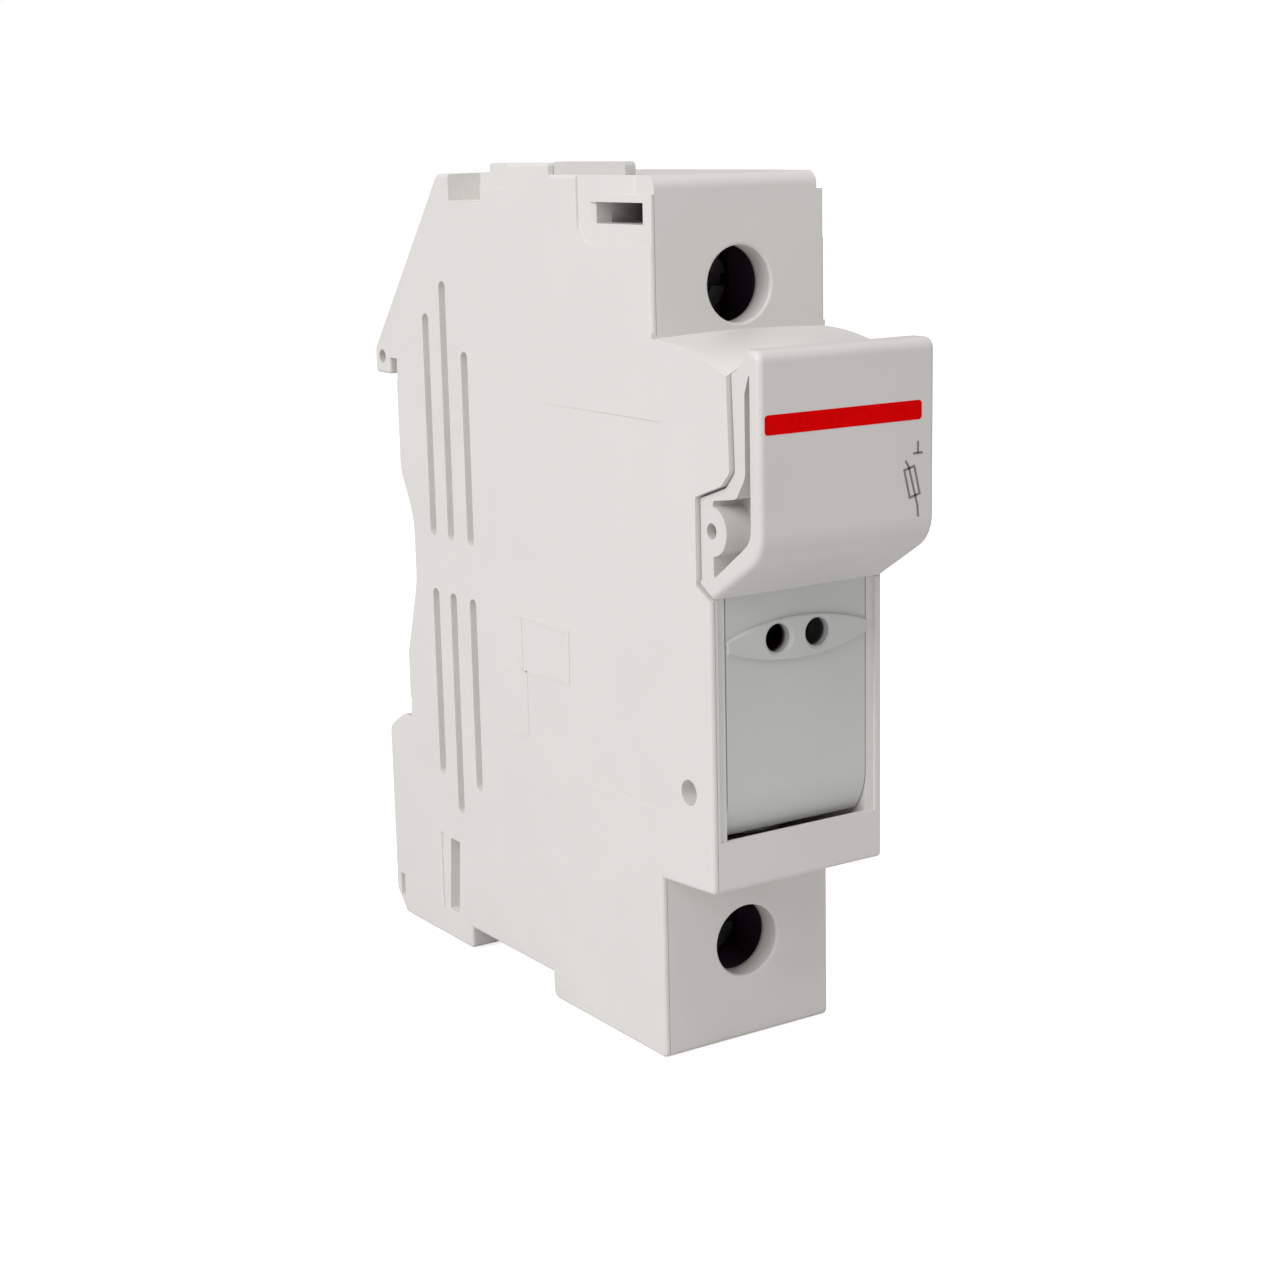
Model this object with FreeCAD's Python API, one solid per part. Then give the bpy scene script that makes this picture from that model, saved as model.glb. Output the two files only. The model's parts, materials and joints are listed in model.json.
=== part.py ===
"""Modular fuse holder for a 10 x 38 mm cartridge fuse, one 17.5 mm module wide, for 35 mm rail.

Millimetres. X = 0 is mid width, Y = 0 is the face that rests on the rail, with the front at -Y,
and Z = 0 is the rail's centre line, +Z up. Each sub-part is one STEP file in parts/.
"""

import FreeCAD, Part
import math
import os

Vector = FreeCAD.Vector

# ---------------------------------------------------------------- driving dimensions
WIDTH = 17.5                    # one module
SHOULDER_Y = -44.0              # front of the two terminal shoulders
NOSE_Y = -51.5                  # front of the nose's frame
GRIP_Y = -58.2                  # front of the grip
PLATE_BACK = -57.0              # back of the grip's front plate
TOP_Z = 34.9
BOTTOM_Z = -39.0
RAIL_HALF = 17.5                # half the height of the 35 mm rail
RAIL_SLOT = 1.4                 # depth of the slot for the rail's 1 mm flange
WALL = 1.55                     # side wall
COVER_SKIN = 0.5                # cover's visible edge
PIVOT = (-48.2, -14.45)         # carrier hinge axis (y, z)
PIN_R = 1.1
RUNNING_GAP = 0.05              # radial clearance of a running fit
GAP = 0.25                      # between parts that move past each other
SEAM_GAP = 0.12                 # between the closed grip and the nose
SCREW_Z = {"upper": 26.0, "lower": -30.2}
ACCESS_R = 3.15                 # screwdriver holes
ACCESS_WALL = 2.2
FUSE_R = 5.15                   # 10.3 mm caps
FUSE_LENGTH = 38.0
FUSE_Y = -41.5
FUSE_Z = -0.8

HALF = WIDTH / 2
INNER = HALF - WALL             # half the width inside
PARTING_X = -HALF + COVER_SKIN
NOSE_BOTTOM_Z = -22.9
NOSE_TOP_Z = 22.35
SILL_Z = -18.15                 # lower edge of the window in the nose
EDGE_ROUND = 0.35


# ---------------------------------------------------------------- helpers
def rounded_wire(corners, place):
    """Closed wire through corners (a, b, radius), each rounded; place(a, b) gives the 3-D point."""
    count = len(corners)
    starts, mids, ends = [], [], []
    for index in range(count):
        a, b, radius = corners[index]
        here = Vector(a, b, 0)
        before = Vector(*corners[index - 1][:2], 0)
        after = Vector(*corners[(index + 1) % count][:2], 0)
        back = (before - here).normalize()
        ahead = (after - here).normalize()
        half_angle = back.getAngle(ahead) / 2
        if radius == 0:
            starts.append(here)
            mids.append(None)
            ends.append(here)
            continue
        reach = radius / math.tan(half_angle)
        centre = here + (back + ahead).normalize() * (radius / math.sin(half_angle))
        starts.append(here + back * reach)
        mids.append(centre + (here - centre).normalize() * radius)
        ends.append(here + ahead * reach)
    edges = []
    for index in range(count):
        if mids[index] is not None:
            points = [place(p.x, p.y) for p in (starts[index], mids[index], ends[index])]
            edges.append(Part.Arc(*points).toShape())
        next_start = starts[(index + 1) % count]
        if (next_start - ends[index]).Length > 1e-6:
            end_point = place(ends[index].x, ends[index].y)
            edges.append(Part.LineSegment(end_point, place(next_start.x, next_start.y)).toShape())
    return Part.Wire(edges)


def with_radius(points, radius=0.0):
    return [(p[0], p[1], p[2] if len(p) > 2 else radius) for p in points]


def side_prism(points, x0, x1):
    """Outline of (y, z[, radius]) corners, drawn from the side and run from x0 to x1."""
    wire = rounded_wire(with_radius(points), lambda y, z: Vector(x0, y, z))
    return Part.Face(wire).extrude(Vector(x1 - x0, 0, 0))


def plan_prism(points, z0, z1):
    """Outline of (x, y[, radius]) corners, drawn from above and run from z0 to z1."""
    wire = rounded_wire(with_radius(points), lambda x, y: Vector(x, y, z0))
    return Part.Face(wire).extrude(Vector(0, 0, z1 - z0))


def block(x0, x1, y0, y1, z0, z1):
    return Part.makeBox(x1 - x0, y1 - y0, z1 - z0, Vector(x0, y0, z0))


def middle(half, y0, y1, z0, z1):
    """Block centred on the mid plane."""
    return block(-half, half, y0, y1, z0, z1)


def rod_x(y, z, radius, x0, x1):
    return Part.makeCylinder(radius, x1 - x0, Vector(x0, y, z), Vector(1, 0, 0))


def rod_y(x, z, radius, y0, y1):
    return Part.makeCylinder(radius, y1 - y0, Vector(x, y0, z), Vector(0, 1, 0))


def rod_z(x, y, radius, z0, z1):
    return Part.makeCylinder(radius, z1 - z0, Vector(x, y, z0), Vector(0, 0, 1))


def both_sides(shape):
    return [shape, shape.mirror(Vector(0, 0, 0), Vector(1, 0, 0))]


def union(shapes):
    return shapes[0].multiFuse(shapes[1:]).removeSplitter()


def edges_where(shape, test):
    return [edge for edge in shape.Edges if test(edge)]


def on_plane(edge, axis, value):
    """True where the whole edge lies in the plane axis = value."""
    box = edge.BoundBox
    low = getattr(box, axis + "Min")
    high = getattr(box, axis + "Max")
    return abs(low - value) < 1e-4 and abs(high - value) < 1e-4


def fillet(shape, radius, test):
    return shape.makeFillet(radius, edges_where(shape, test))


def save(name, shape):
    solids = shape.Solids
    assert solids and shape.isValid(), name
    body = solids[0] if len(solids) == 1 else Part.makeCompound(solids)
    body.exportStep(f"parts/{name}.step")
    print(f"{name:24s} solids {len(solids)}  volume {body.Volume:9.2f} mm3")


# ---------------------------------------------------------------- housing
HOOK_Y = 4.3                    # back of the upper hook
HORN_Y = 4.8                    # back of the lower horns
HOOK_Z = 16.0                   # the hook and the clip reach this far over the rail's flanges
SEAT_END_Z = 15.6               # the two rail seats end here, clear of the hook and the clip's tooth
SEAT_RELIEF = 0.15
FOOT_FRONT_Y = -10.7
RECESS_Z = -36.6                # underside between the foot and the lower shoulder
LOWER_SHOULDER_BACK_Y = -25.7

BACK_OUTLINE = [
    (-9.2, TOP_Z, 0.6),
    (HOOK_Y, 18.4, 0.9),
    (HOOK_Y, HOOK_Z, 0.4),
    (RAIL_SLOT, HOOK_Z, 0.3),
    (RAIL_SLOT, RAIL_HALF + 0.1),
    (-SEAT_RELIEF, RAIL_HALF + 0.1),
    (-SEAT_RELIEF, SEAT_END_Z + 0.15),
    (0.0, SEAT_END_Z),
    (0.0, 7.0, 2.5),
    (-2.3, 2.4, 7.0),
    (-2.3, -3.8, 7.0),
    (0.0, -11.2, 2.5),
    (0.0, -SEAT_END_Z),
    (-SEAT_RELIEF, -SEAT_END_Z - 0.15),
    (-SEAT_RELIEF, -RAIL_HALF - 0.25),
    (1.9, -RAIL_HALF - 0.25, 1.5),
    (HORN_Y, -19.4, 1.2),
    (HORN_Y, -36.6, 1.2),
    (2.9, -38.75, 1.0),
    (FOOT_FRONT_Y, -38.75, 0.4),
    (FOOT_FRONT_Y, RECESS_Z),
    (LOWER_SHOULDER_BACK_Y, RECESS_Z),
    (LOWER_SHOULDER_BACK_Y, BOTTOM_Z, 0.7),
]

ROOF_BLANK_Z = 22.6             # top of the nose before its roof is shaped

# Sections of the nose's roof and of the grip's: y, height at the side faces, height mid-way. The roof
# falls away at the sides towards the seam, and rises again to the top of the grip's plate.
NOSE_ROOF = [
    (SHOULDER_Y, 22.1, NOSE_TOP_Z),
    (-47.0, 21.9, 22.2),
    (-50.0, 21.33, 22.0),
    (-52.0, 20.72, 21.9),
    (-54.1, 19.9, 21.8),
]
GRIP_ROOF = [
    NOSE_ROOF[-1],
    (-54.7, 20.05, 21.8),
    (-55.3, 20.6, 21.82),
    (-55.8, 21.4, 21.9),
    (-56.1, 22.1, 22.15),
]

# The line where the grip's edge meets the nose's side walls, from the roof down to the frame.
SEAM = [
    (-53.97, ROOF_BLANK_Z),
    (-54.4, 12.5, 0.8),
    (-53.2, 11.3, 0.6),
    (-49.7, 10.1, 0.3),
    (-49.7, 2.9, 0.3),
    (NOSE_Y, 1.9),
]


def is_rounded_edge(edge):
    """Picks the outline's edges on the two side faces that are rounded: foot, hook, shoulders and frame."""
    box = edge.BoundBox
    if not (on_plane(edge, "X", -HALF) or on_plane(edge, "X", HALF)):
        return False
    foot = box.ZMax < -RAIL_HALF and box.YMin > SHOULDER_Y - 0.01
    hook_span = box.YMin > -9.5 and box.YMax > RAIL_SLOT + 0.25
    hook = hook_span and HOOK_Z - 0.1 < box.ZMin and box.ZMax < TOP_Z - 0.1
    return foot or hook or on_plane(edge, "Y", SHOULDER_Y) or on_plane(edge, "Y", NOSE_Y)


def roof_section(y, side_z, middle_z):
    """Closed wire across the holder: an arc over the roof at y, closed well above it."""
    sagitta = middle_z - side_z
    radius = (HALF ** 2 + sagitta ** 2) / (2 * sagitta)
    reach = HALF + 0.75
    end_z = middle_z - radius + math.sqrt(radius ** 2 - reach ** 2)
    above = NOSE_TOP_Z + 5
    left, right = Vector(-reach, y, end_z), Vector(reach, y, end_z)
    corners = [right, Vector(reach, y, above), Vector(-reach, y, above), left]
    edges = [Part.Arc(left, Vector(0, y, middle_z), right).toShape()]
    edges += [Part.LineSegment(a, b).toShape() for a, b in zip(corners, corners[1:])]
    return Part.Wire(edges)


def above_roof(sections):
    return Part.makeLoft([roof_section(*section) for section in sections], True)


def nose_form():
    """The nose ahead of the shoulders."""
    corners = [(SHOULDER_Y + 1, NOSE_BOTTOM_Z), (SHOULDER_Y, NOSE_BOTTOM_Z), (NOSE_Y, -22.4, 0.4)]
    corners += SEAM[::-1] + [(SHOULDER_Y, ROOF_BLANK_Z), (SHOULDER_Y + 1, ROOF_BLANK_Z)]
    form = side_prism(corners, -HALF, HALF)
    return fillet(form, EDGE_ROUND, is_rounded_edge).cut(above_roof(NOSE_ROOF))


def outer_form():
    """Outside of the closed housing, with its edges rounded."""
    back = BACK_OUTLINE + [(SHOULDER_Y, BOTTOM_Z, 0.5), (SHOULDER_Y, TOP_Z)]
    form = fillet(side_prism(back, -HALF, HALF), EDGE_ROUND, is_rounded_edge)
    return form.fuse(nose_form().cut(middle(HALF + 1, SHOULDER_Y + 0.5, 10, -50, 50))).removeSplitter()


CAP_Z = 33.4                    # above this the upper shoulder is narrower
CAP_X = (PARTING_X, HALF - 0.85)
PANEL_BACK_Y = -33.2            # marking panel beside the upper terminal
RIM_Y = (-28.9, -18.6)          # raised rim on the top's left edge
RIM_IN = -7.3                   # inner side of the rim
RIM_Z = 35.85
MARKER_Y = (-40.0, -28.9)
MARKER_X = (-8.2, -7.2)
MARKER_ROOT_X = -7.85           # the marker strip's root is narrower than its head
MARKER_ROOT = 0.9               # depth of the root
MARKER_Z = 35.95
ENTRY_Y = (-25.5, -19.8)        # conductor entries
ENTRY_HALF = 4.7


def upper_shoulder(form):
    """Narrows the upper shoulder's top, rounds its front edge and adds the rim and the marker's seat."""
    for inner, outer in zip(CAP_X, (-HALF, HALF)):
        beyond = outer + math.copysign(1.0, outer)
        plan = [
            (inner, SHOULDER_Y - 1), (beyond, SHOULDER_Y - 1), (beyond, PANEL_BACK_Y),
            (outer, PANEL_BACK_Y), (inner, SHOULDER_Y + 2.5),
        ]
        form = form.cut(plan_prism(plan, CAP_Z, TOP_Z + 1))
    form = fillet(form, 1.1, lambda e: on_plane(e, "Y", SHOULDER_Y) and on_plane(e, "Z", TOP_Z))
    rim = block(-HALF, RIM_IN, RIM_Y[0], RIM_Y[1], TOP_Z - 0.5, RIM_Z)
    rim = fillet(rim, 0.3, lambda e: on_plane(e, "Z", RIM_Z))
    seat = block(MARKER_ROOT_X, MARKER_X[1], MARKER_Y[0], MARKER_Y[1], TOP_Z - MARKER_ROOT, TOP_Z + 1)
    return form.fuse(rim).cut(seat)


def vents():
    """Blind grooves in the side walls, beside the rail."""
    grooves = []
    for y, low, high in (
        (-6.2, 1.3, 22.2), (-9.6, 1.2, 25.3), (-13.3, 1.2, 19.1),
        (-6.2, -22.2, -3.8), (-9.6, -25.4, -3.8), (-13.3, -22.3, -3.8),
    ):
        width = 1.2
        outline = [
            (y - width / 2, low, width * 0.49),
            (y + width / 2, low, width * 0.49),
            (y + width / 2, high, width * 0.49),
            (y - width / 2, high, width * 0.49),
        ]
        grooves += both_sides(side_prism(outline, HALF - 0.9, HALF + 1))
    return grooves


def side_recess(y0, y1, z0, z1, depth, radius=0.1):
    corners = [(y0, z0, radius), (y1, z0, radius), (y1, z1, radius), (y0, z1, radius)]
    return both_sides(side_prism(corners, HALF - depth, HALF + 1))


def label_slots():
    """Deep slot in each side of the upper shoulder, bevelled at its back end."""
    front, back, depth, bevel = -42.8, -35.4, 5.5, 0.6
    plan = [
        (HALF + 1, front), (HALF + 1, back + 0.8), (HALF, back + 0.8), (HALF - bevel, back),
        (HALF - depth, back), (HALF - depth, front),
    ]
    return both_sides(plan_prism(plan, 31.02, 32.75))


def side_panel():
    """Very shallow panel on each side, deepest near the front, so that only its long edges show."""
    deepest = 0.1
    plan = [(HALF, -17.7), (HALF + 1, -17.7), (HALF + 1, -46.2), (HALF, -46.2), (HALF - deepest, -43.0)]
    return both_sides(plan_prism(plan, -17.0, 15.6))


def side_details():
    """Shallow recesses moulded in both sides."""
    cuts = vents() + label_slots() + side_panel()
    cuts += side_recess(-9.1, -5.2, -36.1, -28.2, 0.15)
    foot_slot = [(-8.7, -28.5, 0.2), (-6.9, -28.5, 0.2), (-6.3, -35.9, 0.2), (-8.1, -35.9, 0.2)]
    cuts += both_sides(side_prism(foot_slot, HALF - 1.4, HALF + 1))
    cuts += side_recess(2.9, 3.7, -37.0, -34.7, 0.5)
    cuts += side_recess(-60.0, PANEL_BACK_Y, 29.4, 40.0, 0.22, 1.8)
    cuts += side_recess(-17.3, -11.5, 32.5, 40.0, 3.4)
    cuts += side_recess(-22.0, -17.3, 33.7, 40.0, 0.35)
    return cuts


CAGE_HALF_Z = 3.9
CAGE_HALF_X = 6.3
CAVITY_HALF_X = 6.6
BAR_HALF = 3.5
BAR_T = 1.2
BAR_Y = -26.5                   # front face of the bar inside the terminals
JAW_BACK_Y = -34.6              # front face of the jaws' back plate
HEAD_Y = (-38.0, -35.2)         # terminal screw heads
CHAMBER_TOP = 21.1
CHAMBER_BOTTOM = -21.2


def terminal_cavity(end):
    z = SCREW_Z[end]
    deep = CAGE_HALF_Z + GAP
    well = 3.9
    return [
        rod_y(0, z, ACCESS_R, SHOULDER_Y - 1, SHOULDER_Y + ACCESS_WALL + 0.1),
        middle(5.0, SHOULDER_Y + ACCESS_WALL, -35.3, z - well, z + well),
        middle(CAVITY_HALF_X, -35.4, -16.6, z - deep, z + deep),
    ]


def conductor_entries():
    """Funnels from the top and from the underside into the two terminals."""
    cuts = []
    for z0, z1, mouth in ((30.0, TOP_Z + 1, TOP_Z), (-38.0, -34.0, RECESS_Z - 0.4)):
        cuts.append(middle(ENTRY_HALF, ENTRY_Y[0], ENTRY_Y[1], z0, z1))
        funnel = middle(ENTRY_HALF + 0.6, ENTRY_Y[0] - 0.6, ENTRY_Y[1] + 0.6, mouth - 0.7, mouth + 0.7)
        edges = edges_where(funnel, lambda e: on_plane(e, "Z", mouth - math.copysign(0.7, mouth)))
        cuts.append(funnel.makeChamfer(0.59, edges))
    return cuts


CHANNEL_HALF = 5.6              # channel for the rail clip
HOOK_HOLE = (2.75, 17.65, 0.65)  # y, z and radius


def cavities():
    """Everything inside the housing, and the way for the rail clip."""
    front_chamber = [
        (-60.0, SILL_Z), (-51.0, SILL_Z), (-49.5, SILL_Z - 1.5), (-49.5, CHAMBER_BOTTOM),
        (-32.4, CHAMBER_BOTTOM), (-32.4, CHAMBER_TOP), (SHOULDER_Y, CHAMBER_TOP), (-51.0, 20.1),
        (-54.2, 19.65), (-60.0, 19.4),
    ]
    slot_half = BAR_HALF + 0.1
    cuts = [
        side_prism(front_chamber, -INNER, INNER),
        middle(INNER, -31.2, -4.2, -17.6, 18.3),
        middle(slot_half, -34.7, BAR_Y + BAR_T + 0.1, 18.4, 20.0),
        middle(slot_half, BAR_Y - 0.1, BAR_Y + BAR_T + 0.1, 18.4, 24.0),
        middle(slot_half, -34.7, BAR_Y + BAR_T + 0.1, -21.1, -19.5),
        middle(slot_half, BAR_Y - 0.1, BAR_Y + BAR_T + 0.1, -28.0, -19.5),
        middle(CHANNEL_HALF, -0.6, HORN_Y + 1, -40.0, -RAIL_HALF),
        middle(CHANNEL_HALF, -5.2, 0.1, -40.0, -20.2),
        rod_x(HOOK_HOLE[0], HOOK_HOLE[1], HOOK_HOLE[2], -HALF - 1, HALF + 1),
        rod_x(PIVOT[0], PIVOT[1], PIN_R, -HALF - 1, HALF + 1),
    ]
    for end in SCREW_Z:
        cuts += terminal_cavity(end)
    return cuts + conductor_entries()


def window_rebate():
    """Shallow step round the window's side frames."""
    return middle(HALF - 0.75, NOSE_Y - 1, NOSE_Y + 0.22, SILL_Z, 2.4)


def is_access_rim(edge):
    """Picks the front rims of the two screwdriver holes."""
    return on_plane(edge, "Y", SHOULDER_Y) and abs(edge.BoundBox.XLength - 2 * ACCESS_R) < 1e-3


def parting_groove():
    """Hairline along the fronts where the cover meets the body."""
    half = 0.045
    x0, x1 = PARTING_X - half, PARTING_X + half
    lines = (
        (SHOULDER_Y, NOSE_TOP_Z, CAP_Z), (SHOULDER_Y, BOTTOM_Z, NOSE_BOTTOM_Z), (NOSE_Y, NOSE_BOTTOM_Z, 1.9),
    )
    return [block(x0, x1, y - 1, y + 2 * half, low, high) for y, low, high in lines]


LEDGE_Z = (-36.4, -34.9)        # ledge in the clip channel that carries the clip spring


def closed_housing():
    form = upper_shoulder(outer_form())
    form = form.cut(side_details() + cavities() + [window_rebate()])
    form = fillet(form, 0.25, is_access_rim)
    rim = middle(7.6, LOWER_SHOULDER_BACK_Y - 0.1, -17.0, RECESS_Z - 0.4, RECESS_Z + 0.4)
    form = form.fuse(rim.cut(conductor_entries())).cut(parting_groove())
    ledge = middle(2.0, -5.3, -1.1, LEDGE_Z[0], LEDGE_Z[1])
    return form.fuse(ledge.fuse(middle(2.0, -6.0, -5.1, LEDGE_Z[0], LEDGE_Z[1])))


def cover_register():
    """The cover's thick middle, which drops inside the body's rim."""
    corners = [
        (-10.6, 33.3), (-40.6, 33.3), (-42.6, 31.0), (-42.6, 21.0), (-52.4, 20.0), (-52.8, 13.4),
        (-48.3, 11.6), (-48.3, 1.6), (-50.1, 0.6), (-50.1, -21.0), (-42.6, -21.8), (-42.6, -37.6),
        (-27.1, -37.6), (-27.1, -35.2), (-9.4, -35.2), (-9.4, -30.0), (-5.4, -19.8), (-3.9, -18.6),
        (-3.9, 18.0),
    ]
    return side_prism(with_radius(corners, 0.6), PARTING_X, -INNER)


def housing():
    """Splits the housing into the body, with the right wall, and the cover on the left."""
    whole = closed_housing()
    skin = block(-HALF - 1, PARTING_X, -70, 20, -50, 50)
    register = cover_register()
    cover = whole.common(union([skin, register]))
    body = whole.cut([skin, register])
    return body.removeSplitter(), cover.removeSplitter()


# ---------------------------------------------------------------- carrier, grip and hinge pin
CARRIER_HALF = 7.08
CARRIER_FRONT = -51.3
CARRIER_WALL = 1.6
CHEEK_IN = 5.5
CARRIER_TOP = 19.7
PROBE_X = 2.0
PROBE_Z = -1.92
PROBE_R = 1.2
PROBE_LAND = 1.25               # depth of the test holes before they widen
LENS_HEIGHT = 0.35
CURL_R = 5.5                    # the front wall's lower end curves back with this radius
CURL_END = (-47.8, -18.1)       # where it stops (y, z)
TUBE_R = 5.0
CRADLE_Z = (-6.6, 5.0)
STRIP_Y = -47.75                # front face of the test strips
PROBE_T = 0.4


def probe_lens():
    """Raised lens-shaped boss round the two test holes."""
    half, end, crown = CARRIER_HALF, 0.52, 1.78
    y = CARRIER_FRONT - LENS_HEIGHT
    z = PROBE_Z - 0.12
    top = [Vector(-half, y, z + end), Vector(0, y, z + crown), Vector(half, y, z + end)]
    low = [Vector(half, y, z - end), Vector(0, y, z - crown), Vector(-half, y, z - end)]
    edges = [
        Part.Arc(*top).toShape(),
        Part.LineSegment(top[2], low[0]).toShape(),
        Part.Arc(*low).toShape(),
        Part.LineSegment(low[2], top[0]).toShape(),
    ]
    lens = Part.Face(Part.Wire(edges)).extrude(Vector(0, LENS_HEIGHT + 0.2, 0))
    return lens.makeFillet(0.18, edges_where(lens, lambda e: on_plane(e, "Y", y) and e.Length > 5))


def cheeks():
    """Two side plates of the carrier, with the bearings for the hinge pin."""
    reach = -CARRIER_FRONT + PIVOT[0]
    plate = [
        (CARRIER_FRONT, CARRIER_TOP, 0.4), (-46.5, CARRIER_TOP, 0.4), (-46.5, 7.5, 0.5),
        (-45.3, 6.0, 0.5), (-45.3, PIVOT[1]), (CARRIER_FRONT, PIVOT[1]),
    ]
    side = side_prism(plate, CHEEK_IN, CARRIER_HALF).fuse(
        rod_x(PIVOT[0], PIVOT[1], reach, CHEEK_IN, CARRIER_HALF)
    )
    side = side.cut(block(0, HALF, -45.3, -40, -30, 30))
    return both_sides(side.cut(rod_x(PIVOT[0], PIVOT[1], PIN_R + RUNNING_GAP, 0, HALF)))


def front_wall():
    """Front of the carrier, which curves back in front of the hinge pin at the bottom."""
    wall = middle(CARRIER_HALF, CARRIER_FRONT, CARRIER_FRONT + CARRIER_WALL, PIVOT[1], CARRIER_TOP)
    centre_y = CARRIER_FRONT + CURL_R
    curl = rod_x(centre_y, PIVOT[1], CURL_R, -CARRIER_HALF, CARRIER_HALF)
    curl = curl.cut(rod_x(centre_y, PIVOT[1], CURL_R - CARRIER_WALL, -HALF, HALF))
    curl = curl.common(middle(HALF, -60, CURL_END[0], CURL_END[1], PIVOT[1]))
    return [wall, curl]


def cradle():
    """Open ring that grips the fuse tube, on two ribs behind the front wall."""
    low, high = CRADLE_Z
    ring = rod_z(0, FUSE_Y, 6.6, low, high).cut(rod_z(0, FUSE_Y, TUBE_R + 0.02, low, high))
    ring = ring.cut(middle(HALF, -39.6, -30, low - 1, high + 1))
    ring = ring.cut(middle(3.3, -60, FUSE_Y, low + 1.6, high - 1.6))
    form = [ring]
    for z in (low, high - 1.5):
        rib = middle(CHEEK_IN + 0.2, CARRIER_FRONT + CARRIER_WALL - 0.1, -45.0, z, z + 1.5)
        form.append(rib.cut(rod_z(0, FUSE_Y, TUBE_R + 0.02, z - 1, z + 3)))
    way = block(PROBE_X - 1.0, PROBE_X + 1.0, STRIP_Y - 0.05, STRIP_Y + PROBE_T + 0.1, low - 1, high + 1)
    return [part.cut(both_sides(way)) for part in form]


LUG_Z = (10.9, 16.9)             # the grip's two snap lugs
LUG_HALF = 0.9
LUG_CLEARANCE = 0.05
LUG_REACH = 0.9                 # how far the lugs stand out behind the carrier's front wall
LUG_CATCH = 0.45


def fuse_carrier():
    top = middle(CARRIER_HALF, CARRIER_FRONT, -46.5, CARRIER_TOP - 1.3, CARRIER_TOP)
    body = union(front_wall() + cheeks() + cradle() + [top, probe_lens()])
    cuts = []
    for x in (-PROBE_X, PROBE_X):
        cuts.append(rod_y(x, PROBE_Z, PROBE_R, -55, -48))
        cuts.append(rod_y(x, PROBE_Z, PROBE_R + 0.7, CARRIER_FRONT - LENS_HEIGHT + PROBE_LAND, -48))
        mouth = Part.makeCone(
            PROBE_R + 0.25, PROBE_R, 0.25, Vector(x, CARRIER_FRONT - LENS_HEIGHT, PROBE_Z), Vector(0, 1, 0)
        )
        cuts.append(mouth)
    cuts.append(rod_x(SEAL_Y, BOSS[1], SEAL_R + LUG_CLEARANCE, -HALF, HALF))
    slot = LUG_HALF + LUG_CLEARANCE
    for z in LUG_Z:
        cuts.append(middle(slot, CARRIER_FRONT - 1, CARRIER_FRONT + CARRIER_WALL + 0.1, z - slot, z + slot))
    return body.cut(cuts)


GRIP_HALF = 8.65                # half width of the front plate
REAR_HALF = 8.3                 # half width behind the plate
GRIP_TOP = 22.05
BOSS = (-51.3, 7.5, 2.0)        # y, z and radius of the boss round the sealing hole
SEAL_Y = BOSS[0]
SEAL_R = 0.65
SEAL_WIDE = 0.3                 # added to the radius between the two sides, where the hole meets the carrier
POCKET = 3.0


# Lower edge of the pockets, from the plate back to the nose; the same line bounds the narrower rear.
POCKET_SILL = [(PLATE_BACK, 7.4, 2.0), (-51.5, 3.45, 0.3)]


def seam_on_grip():
    """The seam moved forward and down by its gap, from the roof to the frame."""
    line = [(SEAM[0][0] - SEAM_GAP, GRIP_TOP), (SEAM[1][0] - SEAM_GAP, *SEAM[1][1:])]
    line += [(y - SEAM_GAP, z - SEAM_GAP, radius) for y, z, radius in SEAM[2:4]]
    line.append((SEAM[4][0] - SEAM_GAP, SEAM[4][1] + SEAM_GAP, 0.3))
    line.append((NOSE_Y - SEAM_GAP, SEAM[5][1] + SEAM_GAP, 0.3))
    return line


def grip_body():
    """The grip before hollowing: a wide front plate on a narrower rear whose edge follows the seam."""
    outline = seam_on_grip() + [(GRIP_Y, 6.1, 3.2), (GRIP_Y, GRIP_TOP)]
    whole = fillet(side_prism(outline, -GRIP_HALF, GRIP_HALF), 0.9, is_grip_top)
    whole = fillet(whole, 0.5, is_grip_side)
    rear = [(PLATE_BACK, 30.0), *POCKET_SILL, (-45.0, 3.45), (-45.0, 30.0)]
    narrowing = both_sides(side_prism(rear, REAR_HALF, HALF + 1))
    return whole.cut([above_roof(NOSE_ROOF), above_roof(GRIP_ROOF), *narrowing])


def grip_tongue():
    """Middle of the grip, which reaches back between the nose's walls to the carrier."""
    outline = [(-55.0, 19.2), (CARRIER_FRONT, 19.6, 0.5), (CARRIER_FRONT, 2.0), (-54.0, 3.6)]
    return side_prism(outline, -CARRIER_HALF, CARRIER_HALF)


def grip_pockets():
    """Hollow behind the front plate on each side, with the boss left standing in it."""
    hollow = [
        (PLATE_BACK, 20.1, 0.25), (-56.4, 20.1, 0.25), (-55.85, 18.6, 0.4), (-55.85, 12.2, 1.5),
        (-54.6, 10.4, 1.0), (-51.5, 9.95, 0.3), *POCKET_SILL[::-1],
    ]
    pocket = side_prism(hollow, GRIP_HALF - POCKET, GRIP_HALF + 1)
    return both_sides(pocket.cut(rod_x(BOSS[0], BOSS[1], BOSS[2], 0, HALF + 2)))


def is_grip_top(edge):
    return on_plane(edge, "Z", GRIP_TOP) and on_plane(edge, "Y", GRIP_Y)


def is_grip_side(edge):
    """Picks the outer edges of the front plate on the two sides."""
    box = edge.BoundBox
    on_side = abs(abs(box.Center.x) - GRIP_HALF) < 1e-4 and box.XLength < 1e-4
    return on_side and (box.YMin < GRIP_Y + 0.95 or box.ZMax < 6.4)


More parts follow.
